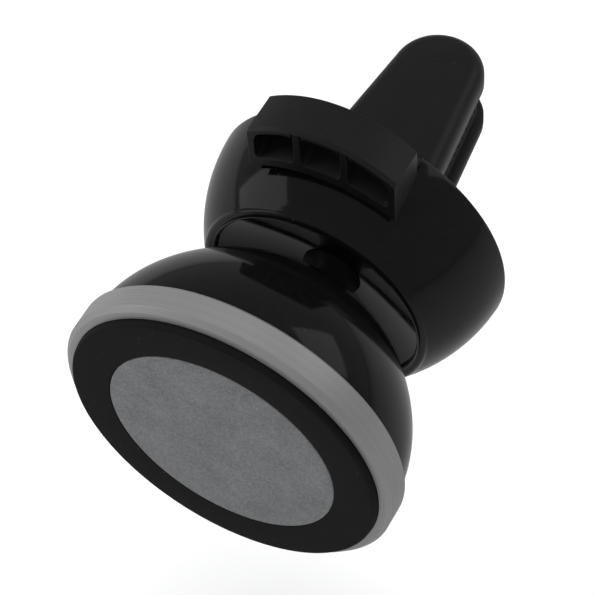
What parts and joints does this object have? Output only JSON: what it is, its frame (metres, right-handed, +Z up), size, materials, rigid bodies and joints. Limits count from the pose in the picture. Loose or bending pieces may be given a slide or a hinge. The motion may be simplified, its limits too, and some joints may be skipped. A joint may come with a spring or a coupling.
{
  "type": "car phone mount",
  "caption": "Magnetic phone holder for a car's air vent: a round tilting head on a bowl-shaped body with a thumb tab and two spring-closed jaws.",
  "frame": {"origin": "middle of the grip between the two jaws, where the vent blade is held", "axes": "+Y along the jaws into the vent, away from the phone; +Z up through the thumb tab; +X to the right seen from the phone side"},
  "size_m": [0.043, 0.0624, 0.0476],
  "materials": {
    "pad_rubber": "matte",
    "disc_grey": "fine grained satin",
    "ring_aluminium": "turned satin",
    "gloss_black": "high gloss",
    "satin_black": "fine textured satin",
    "grip_rubber": "matte, ribbed",
    "inner_plastic": "moulded",
    "nylon": "moulded natural nylon",
    "nickel": "nickel plated",
    "steel": "zinc plated",
    "spring_steel": "drawn wire",
    "black_steel": "black oxide"
  },
  "bodies": {
    "body": {"ball_stud": "black_steel", "stud_washer": "steel", "stud_nut": "steel", "drum_shell": "gloss_black", "dish": "gloss_black", "lower_jaw": "satin_black", "lower_grip": "grip_rubber", "rear_cover": "satin_black", "cover_screws": "black_steel", "frame_screws": "steel", "pivot_pin": "steel", "pin_clips": "steel", "torsion_spring": "spring_steel"},
    "swing_liner": {"inner_liner": "nylon"},
    "tilt_liner": {"outer_liner": "nylon"},
    "head": {"face_pad": "pad_rubber", "centre_disc": "disc_grey", "trim_ring": "ring_aluminium", "head_cup": "gloss_black", "magnet_carrier": "inner_plastic", "magnets": "nickel", "yoke_plate": "steel", "carrier_screws": "steel", "wave_washer": "steel", "socket_front": "inner_plastic", "socket_retainer": "inner_plastic", "socket_screws": "steel"},
    "lever": {"clip_lever": "satin_black", "upper_grip": "grip_rubber"}
  },
  "joints": [
    {"name": "head_swing", "type": "hinge", "parent": "body", "child": "swing_liner", "pos_m": [0, -0.037, -0.00175], "axis": [0, 0, 1], "range_deg": [-15, 15]},
    {"name": "head_tilt", "type": "hinge", "parent": "swing_liner", "child": "tilt_liner", "pos_m": [0, -0.037, -0.00175], "axis": [1, 0, 0], "range_deg": [-15, 15]},
    {"name": "head_turn", "type": "hinge", "parent": "tilt_liner", "child": "head", "pos_m": [0, -0.037, -0.00175], "axis": [0, 1, 0], "continuous": true},
    {"name": "lever_press", "type": "hinge", "parent": "body", "child": "lever", "pos_m": [0, -0.0184, 0.01075], "axis": [1, 0, 0], "range_deg": [0, 12], "stiffness_Nm_per_rad": 0.2, "springref_deg": -20.05, "deforming": ["torsion_spring"]}
  ]
}
